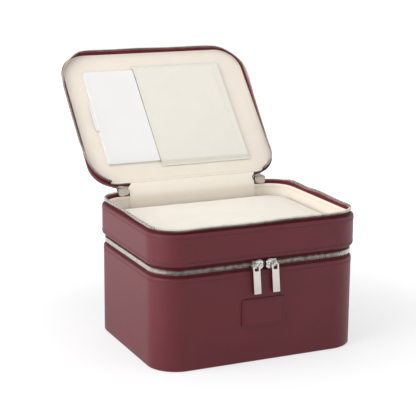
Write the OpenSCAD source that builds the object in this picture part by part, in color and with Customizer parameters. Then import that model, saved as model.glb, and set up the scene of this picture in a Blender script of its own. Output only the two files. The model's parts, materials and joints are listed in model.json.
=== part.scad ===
// Two-tier zipped leather jewellery case: deep base, shallow tray band and padded lid.
// Origin at the middle of the underside, +Z up, the front faces -Y. The lid is drawn open.

/* [Case] */
// Width of the base across its leather
body_w = 256; // [220:2:320]
// Depth of the base across its leather
body_d = 200; // [180:2:240]
// Outside radius of the upright corners
corner_r = 35; // [30:1:40]
// Height of the base leather
base_h = 108; // [90:1:140]
// Height of the tray band leather
band_h = 37; // [34:1:50]
// How far the band and the lid overhang the base
overhang = 1.6; // [1:0.1:2.2]
// Thickness of the lid from its lining to its top
lid_t = 12; // [12:0.5:18]

/* [Layers] */
// Thickness of the leather with its turned edge
leather_t = 2.2; // [2:0.1:2.4]
// Thickness of the zip tape
tape_t = 0.6; // [0.5:0.1:0.7]
// Thickness of the stiffening board
board_t = 2; // [1.5:0.1:2.5]
// Thickness of the cream lining
lining_t = 1; // [0.8:0.1:1.4]
// Thickness of the padded floor of the base
floor_pad_t = 5; // [3:0.5:8]

/* [Zips] */
// Height of the gap between two leather edges
zip_gap = 13; // [12:0.5:15]
// Width of the closed chain
chain_w = 5.8; // [5.4:0.1:6.2]
// Thickness of the chain from front to back
chain_t = 2.5; // [2.2:0.1:2.7]
// Space between the two closed rows, where the slider's post runs
row_slot = 1.2; // [1:0.1:1.4]
// Length of a slider along the chain
slider_len = 15; // [12:0.5:15]
// Height of a slider across the chain
slider_h = 12; // [10:0.5:12]
// Half the distance between the two closed sliders at the front
slider_x = 8.8; // [8:0.1:20]

/* [Pulls] */
// Length of a pull below its barrel
pull_len = 34.5; // [25:0.5:39]
// Width of a pull
pull_w = 9; // [6:0.5:9.5]
// Thickness of a pull
pull_t = 1.8; // [1.4:0.1:1.8]

/* [Hinges] */
// Angle between the closed lid and the open lid
lid_open = 133; // [100:1:135]
// Width of the leather hinge straps and the inner hinge panel
hinge_w = 169; // [120:1:172]
// Thickness of a hinge strap
strap_t = 1.4; // [1:0.1:1.4]

/* [Mirror] */
// Width of the mirror plate
mirror_w = 180; // [140:1:180]
// Height of the mirror plate
mirror_h = 139; // [110:1:140]
// Left edge of the mirror when partly drawn out
mirror_left = -100; // [-102:0.5:-98]
// Distance from the hinge edge of the lining to the mirror
mirror_low = 27; // [24:1:30]
// Width of the pocket
pocket_w = 123; // [100:1:123]
// Height of the pocket
pocket_h = 154; // [145:1:156]
// Right seam of the pocket
pocket_right = 92; // [90:1:96]

/* [Tray] */
// Height from the band's top edge down to the padded cover
cover_drop = 13; // [10:0.5:16]
// Thickness of the padded cover with its board
cover_t = 7.5; // [6:0.5:9]
// Gap around the padded cover
cover_gap = 3; // [2:0.5:6]
// Number of ring rolls
ring_rolls_n = 5; // [2:1:5]

/* [Patch] */
// Width of the blank leather patch
patch_w = 54; // [30:1:70]
// Height of the blank leather patch
patch_h = 32.6; // [20:0.2:36]
// Height of the patch's middle above the underside
patch_z = 58.6; // [40:0.2:60]

/* [Hidden] */
$fn = 96;
glue = 0.1;
// Levels, each the distance inwards from the base outline
i_over = -overhang;
i_band = leather_t - overhang;
i_tape = leather_t;
i_board = leather_t + tape_t + glue;
i_lining = i_board + board_t;
i_room = i_lining + lining_t;
i_chain = i_tape + tape_t / 2;
// Heights
zip1_z = base_h + zip_gap / 2;
band_z = base_h + zip_gap;
band_top = band_z + band_h;
zip2_z = band_top + zip_gap / 2;
lid_z = band_top + zip_gap;
row_h = (chain_w - row_slot) / 2;
row_out = chain_w / 2;
chain_y = body_d / 2 - i_chain;
chain_r = corner_r - i_chain;
corner_x = body_w / 2 - corner_r;
corner_y = body_d / 2 - corner_r;
zip_end_x = hinge_w / 2 + 1.5;
// Lid hinge fold, just outside the back of the band
fold_y = body_d / 2 + overhang + 1.4;
fold_z = band_top + 10.5;
// Slider
plate_in = chain_t / 2 + 1.15;
plate_t = 1.6;
pivot_x = -3;
pivot_out = 6.2;
pivot_z = 1;
// Tray
tray_floor_z = band_z + 3;
cover_top = band_top - cover_drop;
cover_z = cover_top - cover_t;
rail_t = 2.4;
rail_y = 18;
rail_x = 20;
pocket_t = 0.8;
mirror_t = 1.6;
backing_t = 0.8;
mirror_play = 0.3;

// Rounded rectangle with true corner arcs
module rounded(w, d, r) {
    square([w - 2 * r, d], center = true);
    square([w, d - 2 * r], center = true);
    for (x = [-1, 1], y = [-1, 1])
        translate([x * (w / 2 - r), y * (d / 2 - r)]) circle(r);
}

// The case outline, moved inwards by a distance
module outline(inset) {
    rounded(body_w - 2 * inset, body_d - 2 * inset, corner_r - inset);
}

// A plate that follows the case outline
module plate(inset, z0, z1) {
    translate([0, 0, z0]) linear_extrude(z1 - z0) outline(inset);
}

// A wall between two insets
module wall(inset0, inset1, z0, z1) {
    translate([0, 0, z0]) linear_extrude(z1 - z0) difference() {
        outline(inset0);
        outline(inset1);
    }
}

// A wall that is open along the back, where the hinge strap takes the zip's place
module zip_wall(inset0, inset1, z0, z1) {
    difference() {
        wall(inset0, inset1, z0, z1);
        translate([-zip_end_x, 0, z0 - 1]) cube([2 * zip_end_x, body_d, z1 - z0 + 2]);
    }
}

// The lower row of a closed chain, below its middle height
module row_below(z) {
    zip_wall(i_chain - chain_t / 2, i_chain + chain_t / 2, z - row_out, z - row_slot / 2);
}

// The upper row of a closed chain, above its middle height
module row_above(z) {
    zip_wall(i_chain - chain_t / 2, i_chain + chain_t / 2, z + row_slot / 2, z + row_out);
}

// Turns a piece from the closed lid to the open lid
module opened() {
    translate([0, fold_y, fold_z]) rotate([-lid_open, 0, 0]) translate([0, -fold_y, -fold_z])
        children();
}

// --- Base ---

module base_shell() {
    color("#6b2c33") wall(0, leather_t, 0, base_h);
}

module base_bottom_panel() {
    color("#5a252b") plate(leather_t, 0, 2);
}

module base_board() {
    color("#b9a88c") {
        wall(i_board, i_lining, 4, base_h - 4);
        plate(i_board, 2, 4);
    }
}

module base_lining() {
    color("#f1e9da") {
        wall(i_lining, i_room, 4, base_h - 4);
        wall(i_board + glue, i_room, base_h - 4, base_h - 3);
    }
}

module base_floor_pad() {
    color("#f1e9da") plate(i_room + 0.3, 4, 4 + floor_pad_t);
}

module base_zip_tape() {
    color("#7a2c34") zip_wall(i_tape, i_tape + tape_t, base_h - 12, zip1_z - row_out);
}

module base_zip_teeth() {
    color("#c9c7c3") row_below(zip1_z);
}

// The pair of stops that close the ends of a row at the back
module row_stops(z0, z1) {
    for (x = [-1, 1])
        translate([x * (zip_end_x - 0.9) - 0.9, chain_y - chain_t / 2, z0])
            cube([1.8, chain_t, z1 - z0]);
}

module base_zip_stops() {
    color("#c9c7c3") row_stops(zip1_z - row_out, zip1_z - row_slot / 2);
}

module front_patch() {
    color("#672a31") translate([0, -body_d / 2, patch_z]) rotate([90, 0, 0])
        linear_extrude(1.4) rounded(patch_w, patch_h, 2.5);
}

module lower_hinge_strap_base() {
    color("#6b2c33") translate([-hinge_w / 2, body_d / 2, base_h - 28])
        cube([hinge_w, strap_t, 30]);
}

// --- Tray band ---

module band_shell() {
    color("#6b2c33") wall(i_over, i_band, band_z, band_top);
}

module band_foam() {
    color("#d8d2c4") wall(i_band, i_tape, band_z + 1, band_top - 1);
}

module band_board() {
    color("#b9a88c") wall(i_board, i_lining, band_z + 1, band_top - 1);
}

module band_floor() {
    color("#b9a88c") plate(i_lining, band_z + 1, tray_floor_z);
}

module band_lining() {
    color("#f1e9da") {
        wall(i_lining, i_room, tray_floor_z, band_top - 1);
        wall(i_board + glue, i_room, band_top - 1, band_top);
    }
}

module band_underside() {
    color("#efe6d6") plate(i_board, band_z, band_z + 1);
}

module band_lower_tape() {
    color("#7a2c34") zip_wall(i_tape, i_tape + tape_t, zip1_z + row_out, band_z + 12);
}

module band_lower_teeth() {
    color("#c9c7c3") row_above(zip1_z);
}

module band_upper_tape() {
    color("#7a2c34") zip_wall(i_tape, i_tape + tape_t, band_top - 12, zip2_z - row_out);
}

module band_upper_teeth() {
    color("#c9c7c3") row_below(zip2_z);
}

module band_zip_stops() {
    color("#c9c7c3") {
        row_stops(zip1_z + row_slot / 2, zip1_z + row_out);
        row_stops(zip2_z - row_out, zip2_z - row_slot / 2);
    }
}

// Upright walls that part the tray into a ring bay and five compartments
module tray_dividers() {
    rail_h = cover_z - 0.4 - tray_floor_z;
    room_x = body_w / 2 - i_room - 0.3;
    room_y = body_d / 2 - i_room - 0.3;
    color("#eee5d3") {
        translate([-room_x, rail_y, tray_floor_z]) cube([2 * room_x, rail_t, rail_h]);
        translate([rail_x, rail_y, tray_floor_z]) cube([rail_t, room_y - rail_y, rail_h]);
        for (x = [-62, 0, 62])
            translate([x - rail_t / 2, -room_y, tray_floor_z])
                cube([rail_t, room_y + rail_y + 1, rail_h]);
    }
}

// Padded rolls, set side by side so that ring bands are held between them
module ring_rolls() {
    roll_r = (cover_z - 0.5 - tray_floor_z) / 2;
    bay_y0 = rail_y + rail_t;
    pitch = (body_d / 2 - i_room - bay_y0) / ring_rolls_n;
    roll_x0 = -corner_x - 3;
    color("#eee5d3") for (i = [0:ring_rolls_n - 1])
        translate([roll_x0, bay_y0 + (i + 0.5) * pitch, tray_floor_z + roll_r])
            rotate([0, 90, 0]) cylinder(h = rail_x - 0.6 - roll_x0, r = roll_r);
}

module lower_hinge_strap_band() {
    color("#6b2c33") translate([-hinge_w / 2, body_d / 2 + overhang, band_z - 2])
        cube([hinge_w, strap_t, 18]);
}

module upper_hinge_strap_band() {
    color("#6b2c33") translate([-hinge_w / 2, body_d / 2 + overhang, band_top - 20])
        cube([hinge_w, strap_t, 23]);
}

// Cream cloth that covers the fold on the inside: up the lining, then out to the fold
module inner_hinge_panel() {
    cloth_t = 0.8;
    cloth_w = hinge_w - 2;
    room_y = body_d / 2 - i_room;
    color("#f1e9da") translate([-cloth_w / 2, 0, 0]) rotate([90, 0, 90]) linear_extrude(cloth_w)
        polygon([
            [room_y - cloth_t, band_top - 15],
            [room_y, band_top - 15],
            [room_y, band_top + 0.2],
            [fold_y - 2.2, fold_z - 3.2],
            [fold_y - 2.9, fold_z - 2.6],
            [room_y - cloth_t, band_top + 0.6]
        ]);
}

// --- Lid, drawn closed and then opened ---

module lid_shell() {
    color("#6b2c33") opened() difference() {
        plate(i_over, lid_z, lid_z + lid_t);
        plate(i_band, lid_z - 1, lid_z + lid_t - leather_t);
    }
}

module lid_foam() {
    color("#d8d2c4") opened() plate(i_board, lid_z + 3.4, lid_z + lid_t - leather_t);
}

module lid_board() {
    color("#b9a88c") opened() plate(i_board, lid_z + 1.4, lid_z + 3.4);
}

module lid_lining() {
    color("#f1e9da") opened() plate(i_board, lid_z, lid_z + 1.4);
}

// Cuts away the part of the lid's zip that the rear sliders fill when the lid is shut
module short_of_sliders() {
    difference() {
        children();
        translate([-body_w, body_d / 2 - 12, 0]) cube([2 * body_w, body_d, 400]);
    }
}

module lid_zip_tape() {
    color("#7a2c34") opened() short_of_sliders()
        wall(i_tape, i_tape + tape_t, zip2_z + row_out, lid_z + lid_t - leather_t);
}

module lid_zip_teeth() {
    color("#c9c7c3") opened() short_of_sliders() row_above(zip2_z);
}

// Sewn to the lining on three sides and open to the left, with the mirror in it
module mirror_pocket() {
    room_t = mirror_t + backing_t + 2 * mirror_play;
    hinge_edge = body_d / 2 - i_board;
    py = hinge_edge - mirror_low - mirror_h / 2 - pocket_h / 2;
    color("#efe9dc") opened() translate([pocket_right - pocket_w, py, lid_z - room_t - pocket_t])
        difference() {
            cube([pocket_w, pocket_h, room_t + pocket_t]);
            translate([-1, 2.5, pocket_t]) cube([pocket_w - 1.5, pocket_h - 5, room_t + 1]);
        }
}

module upper_hinge_strap_lid() {
    color("#6b2c33") opened()
        translate([-hinge_w / 2, body_d / 2 + overhang, lid_z + 1.5])
            cube([hinge_w, strap_t, lid_t - 3]);
}

// --- Mirror ---

module mirror_slab(z0, z1, inset) {
    my = body_d / 2 - i_board - mirror_low - mirror_h;
    opened() translate([mirror_left + inset, my + inset, z0])
        cube([mirror_w - 2 * inset, mirror_h - 2 * inset, z1 - z0]);
}

module mirror_glass() {
    z0 = lid_z - mirror_play - backing_t - mirror_t;
    color("#e9ebed") mirror_slab(z0, z0 + mirror_t, 0);
}

module mirror_backing() {
    z1 = lid_z - mirror_play;
    color("#f4f2ee") mirror_slab(z1 - backing_t, z1, 0);
}

// Ribbon pull at the mirror's free edge
module mirror_tab() {
    my = body_d / 2 - i_board - mirror_low - mirror_h / 2;
    color("#f4f0e8") opened()
        translate([mirror_left - 3, my - 20, lid_z - mirror_play - backing_t - mirror_t])
            cube([3, 40, 1.2]);
}

// --- Padded cover of the tray ---

module cover_board() {
    color("#b9a88c") plate(i_room + cover_gap + 1, cover_z, cover_z + 1.6);
}

module cover_pad() {
    color("#f3ecdf") plate(i_room + cover_gap, cover_z + 1.6, cover_top);
}

// --- Sliders, drawn about the middle of the chain with the outside towards -Y ---

module slider_face() {
    shoulder = slider_h / 2 - 3.6;
    for (z = [-1, 1])
        translate([slider_len / 2 - 3.6, z * shoulder]) circle(3.6);
    translate([-slider_len / 2, -slider_h / 2 + 1.8]) square([slider_len - 3.6, slider_h - 3.6]);
}

// Two plates joined by a flat post that runs in the slot between the rows, with lips
// that fold in below the lower row and a bar across the outside for the pull
module slider(post_top) {
    lip_z = -row_out - 1.9;
    color("#d5d2cd") {
        for (y = [-plate_in, plate_in + plate_t])
            translate([0, y, 0]) rotate([90, 0, 0]) linear_extrude(plate_t) slider_face();
        translate([2, -plate_in, -0.35]) cube([2.4, 2 * plate_in, post_top + 0.35]);
        for (y = [-plate_in, 1.3])
            translate([-slider_len / 2, y, lip_z]) cube([slider_len, plate_in - 1.3, 1.4]);
        for (x = [pivot_x - 4.1, pivot_x + 2.7])
            translate([x, -pivot_out - 0.9, pivot_z - 0.9])
                cube([1.4, pivot_out + 0.9 - plate_in - plate_t + 0.2, 1.8]);
        translate([pivot_x - 4.1, -pivot_out, pivot_z]) rotate([0, 90, 0])
            cylinder(h = 8.2, r = 0.9);
    }
}

// A flat bar that hangs from a barrel around the slider's bar
module pull() {
    color("#d5d2cd") translate([pivot_x, -pivot_out, pivot_z]) {
        difference() {
            union() {
                translate([-2.3, 0, 0]) rotate([0, 90, 0]) cylinder(h = 4.6, r = 2);
                translate([-2.3, -pull_t / 2 + 0.2, -8]) cube([4.6, pull_t, 7]);
            }
            translate([-3, 0, 0]) rotate([0, 90, 0]) cylinder(h = 6, r = 1.2);
        }
        translate([-pull_w / 2, -pull_t / 2 + 0.2, -pull_len]) cube([pull_w, pull_t, pull_len - 7]);
    }
}

// Places a piece on the lower chain at the front
module at_front(side) {
    translate([side * slider_x, -chain_y, zip1_z]) mirror([side > 0 ? 1 : 0, 0, 0]) children();
}

// Places a piece on the upper chain at the back, where its rear corner begins
module at_back(side) {
    translate([side * corner_x, chain_y, zip2_z]) mirror([side > 0 ? 0 : 1, 0, 0])
        mirror([0, 1, 0]) children();
}

module lower_slider_left() {
    at_front(-1) slider(0.35);
}

module lower_slider_right() {
    at_front(1) slider(0.35);
}

module upper_slider_left() {
    at_back(-1) slider(3);
}

module upper_slider_right() {
    at_back(1) slider(3);
}

module lower_pull_left() {
    at_front(-1) pull();
}

module lower_pull_right() {
    at_front(1) pull();
}

module upper_pull_left() {
    at_back(-1) pull();
}

module upper_pull_right() {
    at_back(1) pull();
}

base_shell();
base_bottom_panel();
base_board();
base_lining();
base_floor_pad();
base_zip_tape();
base_zip_teeth();
base_zip_stops();
front_patch();
lower_hinge_strap_base();
band_shell();
band_foam();
band_board();
band_floor();
band_lining();
band_underside();
band_lower_tape();
band_lower_teeth();
band_upper_tape();
band_upper_teeth();
band_zip_stops();
tray_dividers();
ring_rolls();
lower_hinge_strap_band();
upper_hinge_strap_band();
inner_hinge_panel();
lid_shell();
lid_foam();
lid_board();
lid_lining();
lid_zip_tape();
lid_zip_teeth();
mirror_pocket();
upper_hinge_strap_lid();
mirror_glass();
mirror_backing();
mirror_tab();
cover_board();
cover_pad();
lower_slider_left();
lower_slider_right();
upper_slider_left();
upper_slider_right();
lower_pull_left();
lower_pull_right();
upper_pull_left();
upper_pull_right();
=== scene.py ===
import json
import math

import bmesh
import bpy
import numpy as np
from mathutils import Matrix, Vector


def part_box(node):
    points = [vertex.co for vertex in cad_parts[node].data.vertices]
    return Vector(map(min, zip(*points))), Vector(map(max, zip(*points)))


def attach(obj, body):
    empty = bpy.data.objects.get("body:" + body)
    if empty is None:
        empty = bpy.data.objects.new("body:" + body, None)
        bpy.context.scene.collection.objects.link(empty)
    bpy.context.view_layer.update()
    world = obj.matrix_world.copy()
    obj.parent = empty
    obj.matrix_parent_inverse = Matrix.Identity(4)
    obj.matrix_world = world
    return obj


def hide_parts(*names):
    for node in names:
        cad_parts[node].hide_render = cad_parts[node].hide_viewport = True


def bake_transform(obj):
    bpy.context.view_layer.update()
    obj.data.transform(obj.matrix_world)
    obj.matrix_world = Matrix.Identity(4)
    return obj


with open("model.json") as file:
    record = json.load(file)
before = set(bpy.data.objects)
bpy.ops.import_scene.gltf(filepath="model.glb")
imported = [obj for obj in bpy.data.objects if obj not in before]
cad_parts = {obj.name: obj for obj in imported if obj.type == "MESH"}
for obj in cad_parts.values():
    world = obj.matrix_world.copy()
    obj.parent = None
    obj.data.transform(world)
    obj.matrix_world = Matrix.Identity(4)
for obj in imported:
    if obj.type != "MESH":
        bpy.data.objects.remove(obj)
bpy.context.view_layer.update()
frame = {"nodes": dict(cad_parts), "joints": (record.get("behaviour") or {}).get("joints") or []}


# ---------------------------------------------------------------- Studio
# A pale seamless floor, a white tent of light that is dimmer towards the front, one large
# soft lamp to the left and weak ones above and to the right. The camera stands to the left
# of the front, a little above the lid's hinge.

MM = 0.001


class Wire:
    """A shader value on its way between nodes. The signs + - * on it add Math nodes."""

    def __init__(self, tree, socket=None):
        self.tree = tree
        self.socket = socket

    def put(self, kind, settings=(), sockets=(), out=0):
        """Adds a node of that kind, sets its settings, then its sockets, and gives one output."""
        node = self.tree.nodes.new(kind)
        for key, value in dict(settings).items():
            setattr(node, key, value)
        for key, value in dict(sockets).items():
            if isinstance(value, Wire):
                self.tree.links.new(value.socket, node.inputs[key])
            else:
                node.inputs[key].default_value = value
        return Wire(self.tree, node.outputs[out]) if node.outputs else None

    def math(self, operation, *values):
        return self.put("ShaderNodeMath", {"operation": operation}, dict(enumerate(values)))

    def __add__(self, other):
        return self.math("ADD", self, other)

    def __sub__(self, other):
        return self.math("SUBTRACT", self, other)

    def __rsub__(self, other):
        return self.math("SUBTRACT", other, self)

    def __mul__(self, other):
        return self.math("MULTIPLY", self, other)

    __radd__ = __add__
    __rmul__ = __mul__

    def place(self):
        """The Object coordinates."""
        return self.put("ShaderNodeTexCoord", out="Object")

    def hide(self):
        """The map 'hide': a place on the flat material, in millimetres."""
        return self.put("ShaderNodeUVMap", {"uv_map": "hide"})

    def rub(self):
        """The point attribute of edge wear and painted light."""
        return self.put("ShaderNodeAttribute", {"attribute_name": "rub"}, out="Fac")

    def skin(self, sockets):
        """Ends a material's nodes with a Principled shader that has these sockets."""
        shader = self.put("ShaderNodeBsdfPrincipled", (), sockets)
        self.put("ShaderNodeOutputMaterial", (), {"Surface": shader})

    def wave(self, length):
        """A ridge profile from 0 to 1 that repeats each length."""
        return self.math("SINE", self * (2 * math.pi / length)) * 0.5 + 0.5

    def noise(self, size, detail=3.0, rough=0.55):
        """Cloudy noise from 0 to 1 on a vector, with blotches of about that size."""
        settings = {"noise_dimensions": "3D"}
        sockets = {"Vector": self, "Scale": 1 / size, "Detail": detail, "Roughness": rough}
        return self.put("ShaderNodeTexNoise", settings, sockets)

    def along(self, direction):
        """How far a vector goes in a direction."""
        settings = {"operation": "DOT_PRODUCT"}
        return self.put("ShaderNodeVectorMath", settings, {0: self, 1: direction}, "Value")

    def between(self, low, high):
        """0 below low, 1 above high and a smooth step in between."""
        settings = {"interpolation_type": "SMOOTHSTEP"}
        return self.put("ShaderNodeMapRange", settings, {"Value": self, 1: low, 2: high})

    def tint(self, dark, light):
        """A colour that goes from dark at 0 to light at 1."""
        sockets = {0: self, 6: (*dark, 1), 7: (*light, 1)}
        return self.put("ShaderNodeMix", {"data_type": "RGBA"}, sockets, 2)

    def bump(self, depth_mm, strength=1.0):
        """A normal from this height, which is depth_mm deep from 0 to 1."""
        sockets = {"Height": self, "Distance": depth_mm * MM, "Strength": strength}
        return self.put("ShaderNodeBump", (), sockets)


def world_light(front=0.19, back=0.72):
    """White light from all round, dimmer from the camera's side and from below the horizon."""
    world = bpy.data.worlds.new("tent")
    bpy.context.scene.world = world
    world.use_nodes = True
    tree = world.node_tree
    tree.nodes.clear()
    here = Wire(tree).put("ShaderNodeTexCoord", out="Generated")
    side = here.along((0.3, 0.85, 0.43)).between(-0.75, 0.45)
    light = side * (back - front) + front
    glow = here.put("ShaderNodeBackground", (), {"Color": (1, 0.995, 0.985, 1), "Strength": light})
    seen = here.put("ShaderNodeBackground", (), {"Color": (1, 1, 1, 1), "Strength": 1.3})
    camera = here.put("ShaderNodeLightPath", out="Is Camera Ray")
    both = here.put("ShaderNodeMixShader", (), {0: camera, 1: glow, 2: seen})
    here.put("ShaderNodeOutputWorld", (), {"Surface": both})


def lamp(name, place, target, size, watts):
    """A square lamp of that size at a place, turned to a target."""
    data = bpy.data.lights.new(name, "AREA")
    data.shape = "SQUARE"
    data.size = size
    data.energy = watts
    thing = bpy.data.objects.new(name, data)
    bpy.context.scene.collection.objects.link(thing)
    thing.location = place
    thing.rotation_euler = (Vector(target) - Vector(place)).to_track_quat("-Z", "Y").to_euler()


def seamless_floor():
    """A flat sheet under the case, mottled very slightly. Its own glow grows with the distance
    from the case, so it stays clean white far off and takes a shadow nearby."""
    mesh = bpy.data.meshes.new("floor")
    half, lines = 6.0, 25
    line = np.linspace(-half, half, lines)
    x, y = np.meshgrid(line, line, indexing="ij")
    points = np.stack([x, y, np.zeros_like(x)], -1).reshape(-1, 3)
    first = (np.arange(lines - 1)[:, None] * lines + np.arange(lines - 1)).reshape(-1, 1)
    mesh.from_pydata(points.tolist(), [], (first + [0, lines, lines + 1, 1]).tolist())
    floor = bpy.data.objects.new("floor", mesh)
    bpy.context.scene.collection.objects.link(floor)
    paper = bpy.data.materials.new("floor_paper")
    paper.use_nodes = True
    paper.node_tree.nodes.clear()
    here = Wire(paper.node_tree).place()
    cloud = here.noise(0.4).tint((0.38, 0.38, 0.38), (0.41, 0.41, 0.41))
    far = here.put("ShaderNodeVectorMath", {"operation": "LENGTH"}, {0: here}, "Value")
    glow = far.between(0.17, 0.75).tint((0.56, 0.56, 0.565), (0.98, 0.98, 0.98))
    here.skin({"Base Color": cloud, "Roughness": 0.9, "Specular IOR Level": 0.2,
               "Emission Color": glow, "Emission Strength": 1.0})
    mesh.materials.append(paper)


def camera_at(target, azimuth, elevation, roll, distance, lens):
    """A camera that looks at a target from an azimuth, which is below 0 to the left of the
    front, and an elevation, rolled about its own axis. Angles are in degrees."""
    a, e = math.radians(azimuth), math.radians(elevation)
    back = Vector((math.sin(a) * math.cos(e), -math.cos(a) * math.cos(e), math.sin(e)))
    data = bpy.data.cameras.new("camera")
    data.lens = lens
    data.sensor_width = 36
    data.clip_end = 50
    thing = bpy.data.objects.new("camera", data)
    bpy.context.scene.collection.objects.link(thing)
    thing.rotation_mode = "QUATERNION"
    upright = (-back).to_track_quat("-Z", "Y").to_matrix()
    turned = upright @ Matrix.Rotation(math.radians(roll), 3, "Z")
    thing.matrix_world = Matrix.Translation(Vector(target) + back * distance) @ turned.to_4x4()
    bpy.context.scene.camera = thing


bpy.context.scene.view_settings.view_transform = "Standard"
world_light()
lamp("key_left", (-1.5, -0.15, 0.8), (0, 0, 0.12), size=1.6, watts=31)
lamp("top_soft", (0.3, -0.4, 1.7), (0, 0, 0.15), size=2.2, watts=7.5)
lamp("fill_right", (1.4, -0.9, 0.6), (0, 0, 0.15), size=1.4, watts=7)
seamless_floor()
camera_at((-0.0357, -0.0260, 0.1657), azimuth=-24.82, elevation=13.66, roll=0.46, distance=1.5,
          lens=112.71)


# ---------------------------------------------------------------- Base wall
# The deep lower part of the case: burgundy leather with a pressed cross-hatch grain, glued
# over board and rolled in at the top edge and under the bottom edge. A row of tonal
# stitches runs just below the rolled top edge.

def corners(node):
    """The two corners of a CAD node's box, in millimetres."""
    return [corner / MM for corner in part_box(node)]


def own(piece, body, slot, *nodes):
    """Lets a piece ride on a body and stand for CAD nodes, which it hides. Its slot is not used."""
    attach(piece, body)
    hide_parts(*nodes)


LOW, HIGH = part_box("base_shell")
CASE_W = (HIGH.x - LOW.x) / MM
CASE_D = (HIGH.y - LOW.y) / MM
BASE_TOP = HIGH.z / MM
CORNER_R = 35.0
STEP = 3.0         # between the columns of points round the case


class Outline:
    """Plan of a rounded rectangle, walked anticlockwise from the middle of its far side.

    At a distance s along it, the corner centre (cx, cy) and the turn angle come from s in
    straight steps, and a point that stands out by o is the centre plus (radius + o) along
    the angle. So every offset keeps true corner arcs."""

    def __init__(self, width, depth, radius, middle=(0.0, 0.0)):
        half_w, half_d = width / 2 - radius, depth / 2 - radius
        arc = math.pi / 2 * radius
        runs = [0, half_w, arc, 2 * half_d, arc, 2 * half_w, arc, 2 * half_d, arc, half_w]
        self.marks = np.cumsum(runs)
        self.length = self.marks[-1]
        self.radius = radius
        self.cx = middle[0] + half_w * np.array([0, -1, -1, -1, -1, 1, 1, 1, 1, 0])
        self.cy = middle[1] + half_d * np.array([1, 1, 1, -1, -1, -1, -1, 1, 1, 1])
        self.turn = math.pi / 2 * np.array([1, 1, 2, 2, 3, 3, 4, 4, 5, 5])

    def steps(self, step, start=0.0, end=None):
        """Distances along the outline, about a step apart."""
        end = self.length if end is None else end
        return np.linspace(start, end, max(3, int(round((end - start) / step)) + 1))

    def normal(self, s):
        angle = np.interp(s, self.marks, self.turn)
        return np.stack([np.cos(angle), np.sin(angle), np.zeros_like(angle)], -1)

    def carry(self, s, profile):
        """Carries a profile of (out, z) pairs along the outline: rows along s, columns along it."""
        out, z = np.broadcast_to(profile, (len(s), *np.shape(profile)[-2:])).transpose(2, 0, 1)
        normal = self.normal(s)
        x = np.interp(s, self.marks, self.cx)[:, None] + (self.radius + out) * normal[:, :1]
        y = np.interp(s, self.marks, self.cy)[:, None] + (self.radius + out) * normal[:, 1:2]
        return np.stack([x, y, z], -1)


def run_of(points):
    """Distance run along the last axis of a row of points."""
    steps = np.linalg.norm(np.diff(points, axis=-2), axis=-1)
    return np.concatenate([np.zeros_like(steps[..., :1]), np.cumsum(steps, -1)], -1)


def with_ends(grid):
    """Closes the first and last rows of a tube with a fan onto their middles."""
    first, last = (np.broadcast_to(rim.mean(-2, keepdims=True), rim.shape)
                   for rim in (grid[..., :1, :, :], grid[..., -1:, :, :]))
    return np.concatenate([first, grid, last], -3)


def filled(side, low, high, rings, centre=(0.0, 0.0), crown=0.0, power=4):
    """Closes a wall, given as rows along s and columns up it, by fans of rings to the middle. The
    lower fan is flat at the height low. The upper one is at high and rises towards the middle
    by crown as 1 - k^power, where k is 1 at the wall and 0 at the middle."""
    middle = np.array([*centre, 0.0])
    k = np.linspace(1, 0, rings)[1:]
    over = middle + (side[:, -1:] - middle) * k[:, None]
    over[..., 2] = high + crown * (1 - k ** power)
    under = middle + (side[:, :1] - middle) * k[::-1][:, None]
    under[..., 2] = low
    return np.concatenate([under, side, over], 1)


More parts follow.
